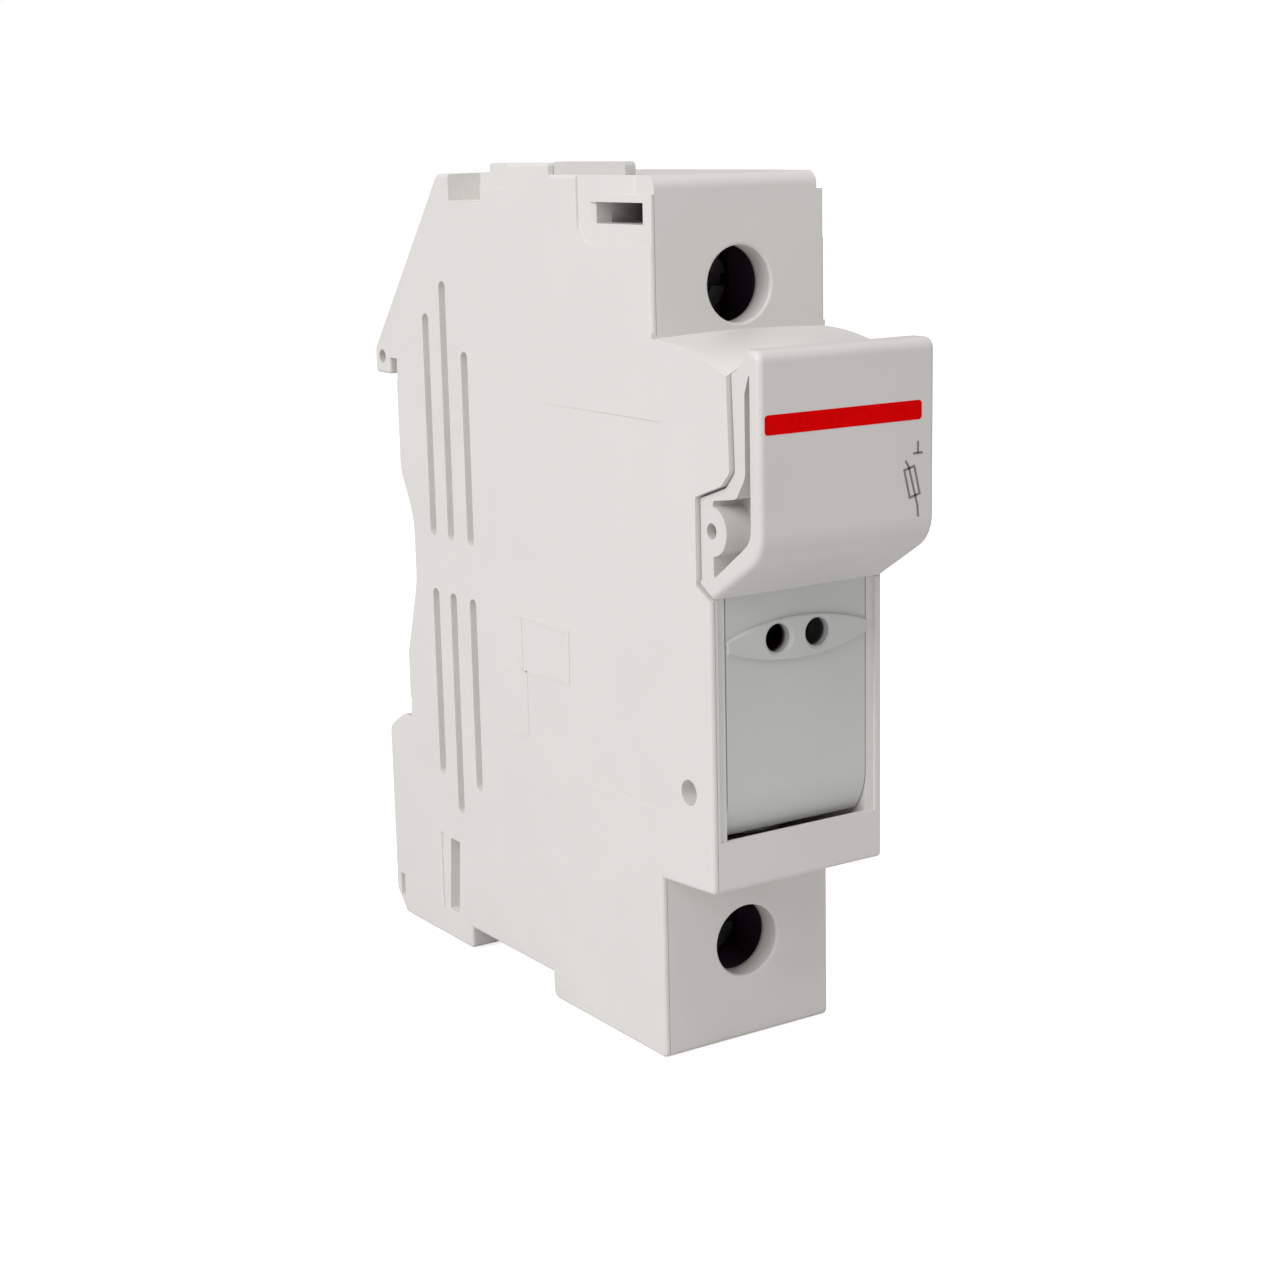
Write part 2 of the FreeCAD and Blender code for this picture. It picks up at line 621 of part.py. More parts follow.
def snap_lug(z):
    """Lug that passes through the carrier's front wall and catches behind it."""
    wall_back = CARRIER_FRONT + CARRIER_WALL
    outline = [
        (CARRIER_FRONT - 0.05, z - LUG_HALF), (wall_back + LUG_REACH, z - LUG_HALF),
        (wall_back + LUG_REACH, z + LUG_HALF), (wall_back + 0.1, z + LUG_HALF + LUG_CATCH),
        (wall_back + 0.1, z + LUG_HALF), (CARRIER_FRONT - 0.05, z + LUG_HALF),
    ]
    return side_prism(outline, -LUG_HALF, LUG_HALF)


def carrier_grip():
    body = grip_body().fuse(grip_tongue())
    cuts = grip_pockets()
    cuts.append(middle(CARRIER_HALF + 0.05, CARRIER_FRONT, -40, -10, 30))
    cuts.append(middle(4.2, -56.4, CARRIER_FRONT, 12.6, 15.6))
    cuts.append(rod_x(SEAL_Y, BOSS[1], SEAL_R, -HALF - 1, HALF + 1))
    cuts.append(rod_x(SEAL_Y, BOSS[1], SEAL_R + SEAL_WIDE, -CARRIER_HALF, CARRIER_HALF))
    body = body.cut(cuts)
    return union([body] + [snap_lug(z) for z in LUG_Z])


def hinge_pin():
    end = HALF - 1.4
    pin = rod_x(PIVOT[0], PIVOT[1], PIN_R, -end, end)
    return pin.makeChamfer(0.2, edges_where(pin, lambda e: abs(e.BoundBox.XLength) < 1e-4))


# ---------------------------------------------------------------- fuse
CAP_LENGTH = 10.0
CAP_T = 0.15                    # cap's side wall, over the tube
CAP_END = 0.8
TUBE_BORE = 3.6


def fuse_tube():
    end = FUSE_LENGTH / 2 - CAP_END
    tube = rod_z(0, FUSE_Y, TUBE_R, FUSE_Z - end, FUSE_Z + end)
    return tube.cut(rod_z(0, FUSE_Y, TUBE_BORE, FUSE_Z - end - 1, FUSE_Z + end + 1))


def fuse_cap(side):
    """Cup over one end of the tube; side is 1 for the upper cap and -1 for the lower."""
    outer = FUSE_LENGTH / 2
    cap = rod_z(0, FUSE_Y, FUSE_R, outer - CAP_LENGTH, outer)
    cap = fillet(cap, 0.5, lambda e: on_plane(e, "Z", outer))
    cap = cap.cut(rod_z(0, FUSE_Y, TUBE_R, 0, outer - CAP_END))
    if side < 0:
        cap = cap.mirror(Vector(0, 0, 0), Vector(0, 0, 1))
    cap.translate(Vector(0, 0, FUSE_Z))
    return cap


def fuse_element():
    """Strip that melts, with three rows of necks."""
    end = FUSE_LENGTH / 2 - CAP_END
    strip = block(-1.8, 1.8, FUSE_Y - 0.15, FUSE_Y + 0.15, FUSE_Z - end, FUSE_Z + end)
    holes = []
    for z in (-8.0, 0.0, 8.0):
        for x in (-1.8, 0.0, 1.8):
            holes.append(rod_y(x, FUSE_Z + z, 0.65, FUSE_Y - 1, FUSE_Y + 1))
    return strip.cut(holes)


# ---------------------------------------------------------------- contacts and terminals
JAW_T = 0.8
JAW_IN = FUSE_R + 0.15
JAW_TIP_Y = -43.65


def jaw_profile():
    """Fork seen from above: back plate, two blades and flared tips."""
    outer = JAW_IN + JAW_T
    right = [
        (outer, JAW_BACK_Y + JAW_T, 0.9), (outer, JAW_TIP_Y + 1.2, 0.4), (outer + 0.55, JAW_TIP_Y),
        (outer - 0.1, JAW_TIP_Y), (JAW_IN, JAW_TIP_Y + 1.3, 0.4), (JAW_IN, JAW_BACK_Y, 0.4),
    ]
    left = [(-p[0], *p[1:]) for p in right[::-1]]
    return right + left


BAR_RISE = {"upper": (16.0, 19.8, 29.7), "lower": (-17.6, -20.9, -33.9)}
JAW_Z = {"upper": (9.2, 16.8), "lower": (-18.4, -10.8)}


def contact(end):
    """Fork for the fuse cap and the bar that runs to the terminal, in one formed piece."""
    start, bend, tip = BAR_RISE[end]
    side = math.copysign(1.0, start)
    jaw = plan_prism(jaw_profile(), *JAW_Z[end])
    near, far = BAR_Y, BAR_Y + BAR_T
    outline = [
        (JAW_BACK_Y, start), (JAW_BACK_Y, bend, BAR_T), (near, bend, 0.3), (near, tip),
        (far, tip), (far, bend - side * BAR_T, BAR_T), (JAW_BACK_Y + JAW_T, bend - side * BAR_T, 0.3),
        (JAW_BACK_Y + JAW_T, start),
    ]
    return jaw.fuse(side_prism(outline, -BAR_HALF, BAR_HALF)).removeSplitter()


def jaw_spring(end):
    """Steel clip round the fork's blades."""
    z0, z1 = (10.6, 15.4) if end == "upper" else (-17.0, -12.2)
    inside = JAW_IN + JAW_T + 0.03
    outside = inside + 0.5
    back = JAW_BACK_Y + JAW_T + 0.03
    tip = JAW_TIP_Y + 1.8
    right = [(outside, back + 0.5, 0.9), (outside, tip), (inside, tip), (inside, back, 0.5)]
    left = [(-p[0], *p[1:]) for p in right[::-1]]
    clip = plan_prism(right + left, z0, z1)
    return clip.cut(middle(BAR_HALF + 0.1, back - 1, back + 0.0, z0 - 1, z1 + 1))


SHANK_R = 2.4
HEAD_R = 3.1


def terminal_screw(end):
    """M5 cheese-head screw with a combined slot and cross."""
    z = SCREW_Z[end]
    head = rod_y(0, z, HEAD_R, HEAD_Y[0], HEAD_Y[1])
    head = head.makeChamfer(0.3, edges_where(head, lambda e: on_plane(e, "Y", HEAD_Y[0])))
    shank = rod_y(0, z, SHANK_R, HEAD_Y[1] - 0.1, BAR_Y - 0.1)
    shank = shank.makeChamfer(0.4, edges_where(shank, lambda e: on_plane(e, "Y", BAR_Y - 0.1)))
    front = HEAD_Y[0] - 1
    cuts = [
        block(-HEAD_R - 1, HEAD_R + 1, front, HEAD_Y[0] + 1.1, z - 0.5, z + 0.5),
        block(-0.45, 0.45, front, HEAD_Y[0] + 1.6, z - 1.6, z + 1.6),
        Part.makeCone(1.5, 0.4, 1.9, Vector(0, HEAD_Y[0], z), Vector(0, 1, 0)),
    ]
    return head.fuse(shank).removeSplitter().cut(cuts)


def clamp_cage(end):
    """Frame that the screw draws forward, so that its back wall presses the conductor on the bar."""
    z = SCREW_Z[end]
    y_front, y_back = -31.0, -18.1
    frame = middle(CAGE_HALF_X, y_front, y_back, z - CAGE_HALF_Z, z + CAGE_HALF_Z)
    frame = fillet(frame, 1.0, lambda e: e.BoundBox.ZLength > 7 and e.Length > 7)
    hole = middle(CAGE_HALF_X - 1.2, y_front + 2.0, y_back - 1.5, z - 10, z + 10)
    hole = fillet(hole, 0.5, lambda e: e.BoundBox.ZLength > 19)
    return frame.cut([hole, rod_y(0, z, SHANK_R + 0.1, y_front - 1, y_front + 3)])


def probe_contact(end):
    """Springy strip from behind a test hole to the nearer fuse cap."""
    touch = FUSE_Y - FUSE_R - 0.05
    if end == "upper":
        x, z_from, z_to = -PROBE_X, PROBE_Z - 1.4, 10.0
    else:
        x, z_from, z_to = PROBE_X, PROBE_Z + 1.4, -11.4
    step = math.copysign(1.0, z_to - z_from)
    front = [
        (STRIP_Y, z_from), (STRIP_Y, z_to - 3.0 * step), (touch - PROBE_T, z_to),
        (STRIP_Y, z_to + 1.4 * step),
    ]
    rear = [(y + PROBE_T, z) for y, z in front]
    return side_prism(front + rear[::-1], x - 0.9, x + 0.9)


# ---------------------------------------------------------------- rail clip and marker
CLIP_HALF = 5.3
SPRING_Y = -2.6
SPRING_R = 1.15
SPRING_WIRE = 0.22
SPRING_TOP = -24.6


def rail_clip():
    """Sliding latch: a tooth behind the rail's lower flange, a window for its spring and a pull slot."""
    tooth = [
        (1.25, -HOOK_Z, 0.2), (1.9, -HOOK_Z, 0.2), (4.2, -19.6, 0.4), (4.2, -38.3, 0.5),
        (-4.9, -38.3, 0.5), (-4.9, -20.5, 0.3), (-0.3, -20.5), (-0.3, -18.3, 0.2), (1.25, -18.3),
    ]
    body = side_prism(tooth, -CLIP_HALF, CLIP_HALF)
    window = middle(2.3, -6.0, -0.9, LEDGE_Z[0] - 0.3, SPRING_TOP)
    relief = middle(3.4, 0.6, 5.0, -33.0, -22.5)
    return body.cut([window, relief])


def clip_spring():
    """Compression spring between the housing's ledge and the top of the clip's window."""
    height = SPRING_TOP - LEDGE_Z[1] - 2 * SPRING_WIRE - 0.1
    helix = Part.makeHelix(1.35, height, SPRING_R)
    ring = Part.Wire(Part.makeCircle(SPRING_WIRE, Vector(SPRING_R, 0, 0), Vector(0, 1, 0)))
    coil = Part.Wire(helix).makePipeShell([ring], True, True)
    coil.translate(Vector(0, SPRING_Y, LEDGE_Z[1] + SPRING_WIRE + 0.05))
    return coil


def marker_strip():
    """Narrow grey strip set in the top of the upper shoulder, along its left edge."""
    back, front = MARKER_Y[1] - 0.1, MARKER_Y[0] + 0.1
    head = block(*MARKER_X, front, back, TOP_Z, MARKER_Z)
    head = fillet(head, 0.45, lambda e: on_plane(e, "Z", MARKER_Z) and on_plane(e, "Y", front))
    root = block(MARKER_ROOT_X + 0.05, MARKER_X[1] - 0.05, front, back, TOP_Z - MARKER_ROOT, TOP_Z + 0.2)
    return head.fuse(root).removeSplitter()


# ---------------------------------------------------------------- build
def main():
    os.makedirs("parts", exist_ok=True)
    body, cover = housing()
    save("housing_body", body)
    save("housing_cover", cover)
    save("marker_strip", marker_strip())
    save("hinge_pin", hinge_pin())
    save("fuse_carrier", fuse_carrier())
    save("carrier_grip", carrier_grip())
    save("fuse_tube", fuse_tube())
    save("fuse_cap_upper", fuse_cap(1))
    save("fuse_cap_lower", fuse_cap(-1))
    save("fuse_element", fuse_element())
    for end in SCREW_Z:
        save(f"{end}_contact", contact(end))
        save(f"{end}_jaw_spring", jaw_spring(end))
        save(f"{end}_clamp_cage", clamp_cage(end))
        save(f"{end}_terminal_screw", terminal_screw(end))
        save(f"{end}_probe_contact", probe_contact(end))
    save("rail_clip", rail_clip())
    save("clip_spring", clip_spring())


main()
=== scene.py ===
"""Looks of the cartridge fuse holder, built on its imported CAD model. Metres, Z up, the front faces -Y."""

import json
import math

import bmesh
import bpy
from mathutils import Matrix, Vector


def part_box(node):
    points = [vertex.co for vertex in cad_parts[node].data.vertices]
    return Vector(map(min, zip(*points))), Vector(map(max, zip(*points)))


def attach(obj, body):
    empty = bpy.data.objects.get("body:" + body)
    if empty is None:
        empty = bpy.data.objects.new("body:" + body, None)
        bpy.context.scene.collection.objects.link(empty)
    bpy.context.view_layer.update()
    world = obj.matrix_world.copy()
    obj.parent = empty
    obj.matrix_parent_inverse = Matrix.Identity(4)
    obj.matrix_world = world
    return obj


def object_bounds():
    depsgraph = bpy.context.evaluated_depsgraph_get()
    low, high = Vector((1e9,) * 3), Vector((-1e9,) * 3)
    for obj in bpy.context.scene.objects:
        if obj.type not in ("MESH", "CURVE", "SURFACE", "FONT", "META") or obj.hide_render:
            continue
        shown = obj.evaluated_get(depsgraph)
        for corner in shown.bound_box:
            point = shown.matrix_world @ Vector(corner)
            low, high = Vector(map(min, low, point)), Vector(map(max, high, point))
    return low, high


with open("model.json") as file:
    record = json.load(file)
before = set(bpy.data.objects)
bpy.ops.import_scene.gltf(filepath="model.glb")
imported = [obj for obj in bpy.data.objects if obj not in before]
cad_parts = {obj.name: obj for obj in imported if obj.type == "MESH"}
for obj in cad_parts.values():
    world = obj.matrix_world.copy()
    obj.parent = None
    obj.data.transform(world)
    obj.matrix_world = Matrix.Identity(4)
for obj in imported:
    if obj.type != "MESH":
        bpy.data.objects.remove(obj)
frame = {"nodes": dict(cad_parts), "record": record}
nodes = frame["nodes"]
cad_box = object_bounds()

MM = 0.001


# ---------------------------------------------------------------- node helpers
def new_material(name):
    """A material with its node tree and its Principled shader."""
    material = bpy.data.materials.new(name)
    material.use_nodes = True
    tree = material.node_tree
    return material, tree, tree.nodes["Principled BSDF"]


def object_space(tree):
    return tree.nodes.new("ShaderNodeTexCoord").outputs["Object"]


def noise(tree, size, detail=2.0, stretch=(1.0, 1.0, 1.0)):
    """Noise whose features are about size metres across, longer along the axes with a large stretch."""
    mapping = tree.nodes.new("ShaderNodeMapping")
    mapping.inputs["Scale"].default_value = [1.0 / (size * s) for s in stretch]
    tree.links.new(object_space(tree), mapping.inputs["Vector"])
    texture = tree.nodes.new("ShaderNodeTexNoise")
    texture.inputs["Scale"].default_value = 1.0
    texture.inputs["Detail"].default_value = detail
    tree.links.new(mapping.outputs["Vector"], texture.inputs["Vector"])
    return texture.outputs["Fac"]


def spread(tree, value, low, high, to_low=0.0, to_high=1.0):
    """Maps low..high of a value to to_low..to_high, clamped."""
    node = tree.nodes.new("ShaderNodeMapRange")
    for name, number in (("From Min", low), ("From Max", high), ("To Min", to_low), ("To Max", to_high)):
        node.inputs[name].default_value = number
    tree.links.new(value, node.inputs["Value"])
    return node.outputs["Result"]


def blend_colours(tree, factor, first, second):
    """Mix of two colours, each a colour or a socket."""
    node = tree.nodes.new("ShaderNodeMix")
    node.data_type = "RGBA"
    tree.links.new(factor, node.inputs["Factor"])
    for name, colour in (("A", first), ("B", second)):
        socket = next(s for s in node.inputs if s.name == name and s.type == "RGBA")
        if isinstance(colour, bpy.types.NodeSocket):
            tree.links.new(colour, socket)
        else:
            socket.default_value = (*colour, 1.0)
    return next(s for s in node.outputs if s.type == "RGBA")


def bump(tree, height, depth):
    """Normal for a height of 0..1 that stands for depth metres."""
    node = tree.nodes.new("ShaderNodeBump")
    node.inputs["Distance"].default_value = depth
    node.inputs["Strength"].default_value = 1.0
    tree.links.new(height, node.inputs["Height"])
    return node.outputs["Normal"]


def edge_highlight_mask(tree, radius):
    """1 along convex and concave edges, 0 on flat faces; it places a painted highlight on edges."""
    bevel = tree.nodes.new("ShaderNodeBevel")
    bevel.samples = 4
    bevel.inputs["Radius"].default_value = radius
    geometry = tree.nodes.new("ShaderNodeNewGeometry")
    dot = tree.nodes.new("ShaderNodeVectorMath")
    dot.operation = "DOT_PRODUCT"
    tree.links.new(bevel.outputs["Normal"], dot.inputs[0])
    tree.links.new(geometry.outputs["Normal"], dot.inputs[1])
    return spread(tree, dot.outputs["Value"], 0.97, 0.80)


def calculate(tree, operation, first, second):
    """Math node on a socket and a socket or number."""
    node = tree.nodes.new("ShaderNodeMath")
    node.operation = operation
    tree.links.new(first, node.inputs[0])
    if isinstance(second, bpy.types.NodeSocket):
        tree.links.new(second, node.inputs[1])
    else:
        node.inputs[1].default_value = second
    return node.outputs["Value"]


def within(tree, limits):
    """Product of ramps, each from 0 at its outer limit to 1 at its inner limit, in millimetres."""
    product = None
    for value, outer, inner in limits:
        ramp = spread(tree, value, outer * MM, inner * MM)
        product = ramp if product is None else calculate(tree, "MULTIPLY", product, ramp)
    return product


def distance(tree, value, middle):
    """How far a value is from the middle (in millimetres), on either side."""
    return calculate(tree, "ABSOLUTE", calculate(tree, "ADD", value, -middle * MM), 0.0)


TERMINALS_Z = -2.1              # height mid-way between the two terminals
LABEL_SLOTS_Z = 31.9
TEST_HOLES_Z = -1.92


def painted_shade_mask(tree):
    """Mask for painted shade: 1 deep in the terminals, the label slots and behind the test holes, where
    hardly any light comes.
    """
    split = tree.nodes.new("ShaderNodeSeparateXYZ")
    tree.links.new(object_space(tree), split.inputs["Vector"])
    y, z = split.outputs["Y"], split.outputs["Z"]
    x_out = distance(tree, split.outputs["X"], 0.0)
    z_terminal = distance(tree, z, TERMINALS_Z)
    z_slot = distance(tree, z, LABEL_SLOTS_Z)
    z_probe = distance(tree, z, TEST_HOLES_Z)
    terminals = within(tree, [
        (x_out, 6.70, 6.62), (y, -42.2, -41.5), (y, -16.4, -16.5), (z_terminal, 23.85, 23.95),
        (z_terminal, 34.3, 32.3),
    ])
    slots = within(tree, [(x_out, 6.8, 2.2), (z_slot, 1.1, 0.95), (y, -34.9, -35.3), (y, -43.4, -43.0)])
    probes = within(tree, [(x_out, 5.45, 5.3), (z_probe, 2.9, 2.7), (y, -50.9, -50.6), (y, -45.6, -46.1)])
    return calculate(tree, "MAXIMUM", calculate(tree, "MAXIMUM", terminals, slots), probes)


def shade(colour, factor):
    return tuple(min(1.0, c * factor) for c in colour)


# ---------------------------------------------------------------- materials
PAINTED_SHADE = (0.110, 0.060, 0.100)    # painted shade: what plastic fades to in the unlit depths
DARKEST_PAINTED_SHADE = shade(PAINTED_SHADE, 0.2)      # darker painted shade, for ceramic and metal


def moulded_plastic(name, colour, roughness):
    """Moulded polyamide: cloudy colour and fine eroded grain, with a painted highlight along edges and
    painted shade deep in the terminals, the label slots and behind the test holes.
    """
    material, tree, shader = new_material(name)
    clouds = spread(tree, noise(tree, 9 * MM, 3.0), 0.35, 0.65)
    body = blend_colours(tree, clouds, shade(colour, 0.985), shade(colour, 1.012))
    specks = spread(tree, noise(tree, 0.45 * MM, 1.0), 0.66, 0.74, 0.0, 0.25)
    body = blend_colours(tree, specks, body, shade(colour, 0.93))
    # painted highlight: edges a little lighter
    body = blend_colours(tree, edge_highlight_mask(tree, 0.18 * MM), body, shade(colour, 1.06))
    # painted shade in the terminals, the label slots and behind the test holes
    body = blend_colours(tree, painted_shade_mask(tree), body, PAINTED_SHADE)
    tree.links.new(body, shader.inputs["Base Color"])
    gloss = spread(tree, noise(tree, 4 * MM, 4.0), 0.3, 0.7, roughness - 0.04, roughness + 0.05)
    tree.links.new(gloss, shader.inputs["Roughness"])
    shader.inputs["Specular IOR Level"].default_value = 0.4
    grain = noise(tree, 0.14 * MM, 2.0)
    tree.links.new(bump(tree, grain, 0.004 * MM), shader.inputs["Normal"])
    return material


def plated_metal(name, colour, roughness, stain, paint_shade_in_depths=False):
    """Plated metal with scratches along Z and a faint stain; if asked, it gets painted shade in the depths,
    dark and no longer metallic.
    """
    material, tree, shader = new_material(name)
    cloud = spread(tree, noise(tree, 2.6 * MM, 4.0), 0.4, 0.7)
    body = blend_colours(tree, cloud, colour, stain)
    if paint_shade_in_depths:
        # painted shade deep in the terminals and behind the test holes: darker colour, and metallic turned
        # off so the depths show no reflection
        dark = painted_shade_mask(tree)
        body = blend_colours(tree, dark, body, DARKEST_PAINTED_SHADE)
        tree.links.new(spread(tree, dark, 0.0, 1.0, 1.0, 0.0), shader.inputs["Metallic"])
    else:
        shader.inputs["Metallic"].default_value = 1.0
    tree.links.new(body, shader.inputs["Base Color"])
    scratches = noise(tree, 0.12 * MM, 3.0, (1.0, 1.0, 9.0))
    gloss = spread(tree, scratches, 0.3, 0.7, roughness - 0.07, roughness + 0.1)
    tree.links.new(gloss, shader.inputs["Roughness"])
    tree.links.new(bump(tree, scratches, 0.002 * MM), shader.inputs["Normal"])
    return material


def fired_ceramic(name, colour):
    """Unglazed steatite: chalky, with sparse grey grains, and painted shade where it lies behind the test
    holes.
    """
    material, tree, shader = new_material(name)
    grains = spread(tree, noise(tree, 0.5 * MM, 2.0), 0.64, 0.72, 0.0, 0.5)
    body = blend_colours(tree, grains, colour, shade(colour, 0.8))
    # painted shade behind the test holes
    body = blend_colours(tree, painted_shade_mask(tree), body, DARKEST_PAINTED_SHADE)
    tree.links.new(body, shader.inputs["Base Color"])
    gloss = spread(tree, noise(tree, 2 * MM), 0.3, 0.7, 0.6, 0.75)
    tree.links.new(gloss, shader.inputs["Roughness"])
    tree.links.new(bump(tree, noise(tree, 0.25 * MM, 3.0), 0.006 * MM), shader.inputs["Normal"])
    return material


def printed_ink(name, colour, roughness=0.45):
    """Pad-printed ink: slightly uneven cover, hardly any shine."""
    material, tree, shader = new_material(name)
    cover = spread(tree, noise(tree, 0.5 * MM, 3.0), 0.35, 0.7)
    tree.links.new(blend_colours(tree, cover, colour, shade(colour, 0.9)), shader.inputs["Base Color"])
    gloss = spread(tree, noise(tree, 0.3 * MM), 0.3, 0.7, roughness - 0.05, roughness + 0.05)
    tree.links.new(gloss, shader.inputs["Roughness"])
    shader.inputs["Specular IOR Level"].default_value = 0.02
    return material


HOUSING_GREY = (0.757, 0.742, 0.716)
CARRIER_GREY = (0.640, 0.655, 0.636)
MARKER_GREY = (0.640, 0.635, 0.610)
CLIP_GREY = (0.560, 0.545, 0.520)

MATERIALS = {
    "housing_plastic": moulded_plastic("housing_plastic", HOUSING_GREY, 0.46),
    # painted shade: the grip is the housing plastic made 4 % darker
    "grip_plastic": moulded_plastic("grip_plastic", shade(HOUSING_GREY, 0.96), 0.42),
    "carrier_plastic": moulded_plastic("carrier_plastic", CARRIER_GREY, 0.40),
    "marker_plastic": moulded_plastic("marker_plastic", MARKER_GREY, 0.50),
    "clip_plastic": moulded_plastic("clip_plastic", CLIP_GREY, 0.48),
    "fuse_ceramic": fired_ceramic("fuse_ceramic", (0.80, 0.79, 0.74)),
    "cap_metal": plated_metal("cap_metal", (0.74, 0.73, 0.70), 0.22, (0.66, 0.63, 0.57)),
    "element_metal": plated_metal("element_metal", (0.80, 0.79, 0.75), 0.25, (0.70, 0.66, 0.60)),
    # the contact metal gets painted shade in the depths
    "contact_metal": plated_metal("contact_metal", (0.68, 0.67, 0.64), 0.32, (0.60, 0.57, 0.52), True),
    "spring_steel": plated_metal("spring_steel", (0.36, 0.36, 0.37), 0.34, (0.26, 0.26, 0.29)),
    "steel": plated_metal("steel", (0.24, 0.24, 0.25), 0.38, (0.16, 0.15, 0.17)),
}


def dress_nodes():
    """Gives each CAD node the material of its slot in the record."""
    for part in frame["record"]["subparts"]:
        mesh = nodes[part["node"]].data
        mesh.materials.clear()
        mesh.materials.append(MATERIALS[part["material_slot"]])


# ---------------------------------------------------------------- small pieces
def rounded_corners(corners, radius, steps=5):
    """Outline through corners (a, b), each replaced by an arc of the same radius."""
    outline = []
    for index, corner in enumerate(corners):
        here = Vector(corner)
        back = (Vector(corners[index - 1]) - here).normalized()
        ahead = (Vector(corners[(index + 1) % len(corners)]) - here).normalized()
        half_angle = back.angle(ahead) / 2
        centre = here + (back + ahead).normalized() * (radius / math.sin(half_angle))
        first = here + back * (radius / math.tan(half_angle)) - centre
        last = here + ahead * (radius / math.tan(half_angle)) - centre
        for step in range(steps + 1):
            outline.append(centre + first.slerp(last, step / steps).normalized() * radius)
    return outline


def line_edges(points, width, closed):
    """The two edges of a line of this width along points (a, b), with mitred corners."""
    count = len(points)
    left, right = [], []
    for index, point in enumerate(points):
        here = Vector(point)
        before = Vector(points[index - 1]) if closed or index else None
        after = Vector(points[(index + 1) % count]) if closed or index < count - 1 else None
        into = (here - before if before else after - here).normalized()
        out = (after - here if after else here - before).normalized()
        along = (into + out).normalized()
        across = Vector((-along.y, along.x))
        reach = width / 2 / across.dot(Vector((-into.y, into.x)))
        left.append(here + across * reach)
        right.append(here - across * reach)
    return left, right


def add_strip(shape, left, right, closed, place, thickness):
    """Adds the solid between two edges; place(a, b, height) gives the point in metres."""
    rings = []
    for a, b in zip(left, right):
        corners = ((a, 0.0), (a, thickness), (b, thickness), (b, 0.0))
        rings.append([shape.verts.new(place(point[0], point[1], height)) for point, height in corners])
    for index in range(len(rings) - (0 if closed else 1)):
        first, second = rings[index], rings[(index + 1) % len(rings)]
        for side in range(4):
            after = (side + 1) % 4
            shape.faces.new((first[side], first[after], second[after], second[side]))
    if not closed:
        shape.faces.new(rings[0])
        shape.faces.new(rings[-1])


def raised(name, strips, place, thickness, material):
    """Piece made of strips (left edge, right edge, closed), in millimetres."""
    mesh = bpy.data.meshes.new(name)
    shape = bmesh.new()
    for left, right, closed in strips:
        add_strip(shape, left, right, closed, place, thickness)
    bmesh.ops.recalc_face_normals(shape, faces=shape.faces)
    shape.to_mesh(mesh)
    shape.free()
    mesh.materials.append(material)
    piece = bpy.data.objects.new(name, mesh)
    bpy.context.scene.collection.objects.link(piece)
    return piece


# ---------------------------------------------------------------- print on the grip
GRIP_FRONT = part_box("carrier_grip")[0].y / MM
INK = 0.02                      # millimetres that the ink stands proud
BAND = (-8.15, 7.25, 15.66, 17.2)  # left, right, bottom and top of the coloured band
BAND_ROUND = 0.3
LINE = 0.19

# The two circuit symbols, as (x, z) on the grip's front: a fuse on a switch blade, and its fixed contact.
FUSE_MIDDLE = (6.28, 10.75)
FUSE_SIZE = (1.05, 2.3)
FUSE_TILT = 14
BLADE = [(5.6, 12.5), (5.95, 11.95), (6.62, 9.6), (6.84, 8.85), (6.92, 7.9)]
CONTACT = [[(6.88, 13.95), (6.88, 13.0)], [(6.4, 13.0), (7.36, 13.0)]]


def on_grip(x, z, height):
    return Vector((x, GRIP_FRONT - height, z)) * MM


def tilted_box(centre, size, angle):
    turn = Matrix.Rotation(math.radians(angle), 2)
    corners = [(-1, -1), (1, -1), (1, 1), (-1, 1)]
    return [Vector(centre) + turn @ Vector((a * size[0] / 2, b * size[1] / 2)) for a, b in corners]


def band_strip():
    """The band as a strip between its lower and upper edges, with rounded corners."""
    left, right, low, high = BAND
    outline = rounded_corners([(left, high), (left, low), (right, low), (right, high)], BAND_ROUND)
    corner = len(outline) // 4
    lower = outline[corner:3 * corner]
    upper = (outline[3 * corner:] + outline[:corner])[::-1]
    return lower, upper, False


def grip_print():
    """The coloured band and the symbols, which ride on the carrier."""
    red = printed_ink("band_ink", (0.83, 0.0, 0.0008), 0.5)
    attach(raised("grip_band", [band_strip()], on_grip, INK, red), "carrier")
    fuse = tilted_box(FUSE_MIDDLE, FUSE_SIZE, FUSE_TILT)
    strips = [(*line_edges(fuse, LINE, True), True)]
    strips += [(*line_edges(line, LINE, False), False) for line in [BLADE] + CONTACT]
    grey = printed_ink("symbol_ink", (0.27, 0.25, 0.25))
    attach(raised("grip_symbols", strips, on_grip, INK, grey), "carrier")


# ---------------------------------------------------------------- moulded gauge on the side
PANEL_X = -8.69                 # just under the floor of the shallow recess in the left side
GAUGE_LINE = 0.22
GAUGE_HEIGHT = 0.10
GAUGE = [                       # lines of (y, z): a frame, its inner divider, and the leg below it
    [(-18.7, -9.1), (-30.0, -8.6), (-30.0, -4.1), (-19.9, -4.0)],
    [(-22.0, -4.1), (-22.0, -8.9)],
    [(-22.7, -8.9), (-22.7, -14.8), (-19.9, -15.2)],
]


def on_side(y, z, height):
    return Vector((PANEL_X - height, y, z)) * MM


def strip_gauge():
    """Moulded outline that shows how much insulation to strip."""
    strips = [(*line_edges(line, GAUGE_LINE, False), False) for line in GAUGE]
    gauge = raised("strip_gauge", strips, on_side, GAUGE_HEIGHT, MATERIALS["housing_plastic"])
    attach(gauge, "housing")


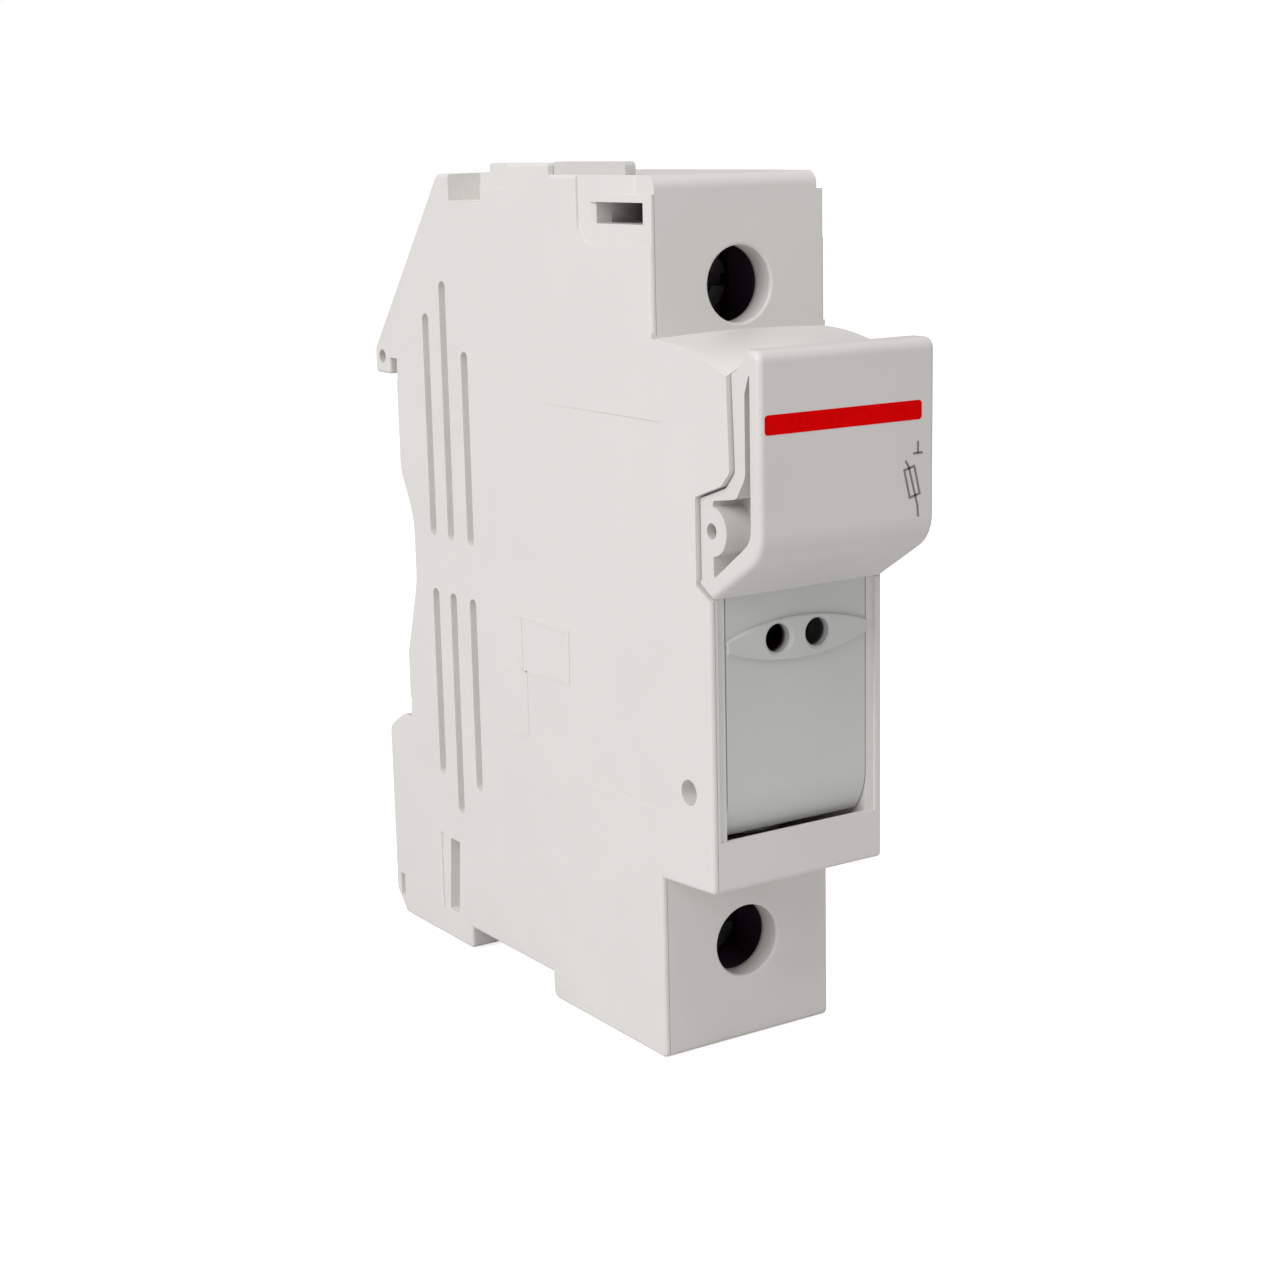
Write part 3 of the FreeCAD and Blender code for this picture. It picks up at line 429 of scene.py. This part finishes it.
# ---------------------------------------------------------------- camera, lights and floor
CAMERA = {                      # place in metres, turns in degrees, lens in millimetres
    "place": (-0.11179, -0.19831, 0.03830),
    "yaw": 33.293,
    "down": 12.366,
    "roll": -1.245,
    "lens": 65.26,
}
SKY = 0.45                      # light from all round
SKY_TINT = (1.0, 0.980, 0.975)
LIGHT_DISTANCE = 0.8
LIGHT_SIZE = 0.45
FLOOR_HALF = 4.0
FLOOR_GAP = 0.05 * MM           # from the floor up to the object


def place_camera():
    data = bpy.data.cameras.new("camera")
    data.lens = CAMERA["lens"]
    data.sensor_width = 36.0
    data.clip_start = 0.01
    data.clip_end = 20.0
    camera = bpy.data.objects.new("camera", data)
    bpy.context.scene.collection.objects.link(camera)
    turn = Matrix.Rotation(-math.radians(CAMERA["yaw"]), 4, "Z")
    tilt = Matrix.Rotation(math.radians(90 - CAMERA["down"]), 4, "X")
    roll = Matrix.Rotation(math.radians(CAMERA["roll"]), 4, "Z")
    camera.matrix_world = Matrix.Translation(CAMERA["place"]) @ turn @ tilt @ roll
    bpy.context.scene.camera = camera


def soft_box(name, direction, power):
    """Square area light that looks back at the object's middle from a direction."""
    data = bpy.data.lights.new(name, "AREA")
    data.size = LIGHT_SIZE
    data.energy = power
    light = bpy.data.objects.new(name, data)
    bpy.context.scene.collection.objects.link(light)
    away = Vector(direction).normalized()
    middle = (cad_box[0] + cad_box[1]) / 2
    light.location = middle + away * LIGHT_DISTANCE
    light.rotation_mode = "QUATERNION"
    light.rotation_quaternion = away.to_track_quat("Z", "Y")


def white_sky():
    """White surroundings that light the object more softly than they look."""
    world = bpy.data.worlds.new("sky")
    bpy.context.scene.world = world
    world.use_nodes = True
    tree = world.node_tree
    background = tree.nodes["Background"]
    seen = tree.nodes.new("ShaderNodeLightPath").outputs["Is Camera Ray"]
    tree.links.new(blend_colours(tree, seen, SKY_TINT, (1.0, 1.0, 1.0)), background.inputs["Color"])
    tree.links.new(spread(tree, seen, 0.0, 1.0, SKY, 1.0), background.inputs["Strength"])


def pale_floor():
    """White floor a hair under the object, bright enough to meet the sky without a line."""
    mesh = bpy.data.meshes.new("floor")
    z = cad_box[0].z - FLOOR_GAP
    signs = [(-1, -1), (1, -1), (1, 1), (-1, 1)]
    mesh.from_pydata([(x * FLOOR_HALF, y * FLOOR_HALF, z) for x, y in signs], [], [(0, 1, 2, 3)])
    floor = bpy.data.objects.new("floor", mesh)
    bpy.context.scene.collection.objects.link(floor)
    material, tree, shader = new_material("floor_white")
    shader.inputs["Base Color"].default_value = (0.72, 0.72, 0.72, 1.0)
    shader.inputs["Roughness"].default_value = 0.9
    shader.inputs["Specular IOR Level"].default_value = 0.0
    shader.inputs["Emission Color"].default_value = (1.0, 1.0, 1.0, 1.0)
    seen = tree.nodes.new("ShaderNodeLightPath").outputs["Is Camera Ray"]
    tree.links.new(spread(tree, seen, 0.0, 1.0, 0.0, 0.80), shader.inputs["Emission Strength"])
    mesh.materials.append(material)


def light_scene():
    bpy.context.scene.view_settings.view_transform = "Standard"
    white_sky()
    soft_box("key", (-0.48, -0.10, 0.33), 3.5)
    soft_box("top", (0.0, -0.33, 0.94), 1.4)


dress_nodes()
grip_print()
strip_gauge()
pale_floor()
light_scene()
place_camera()
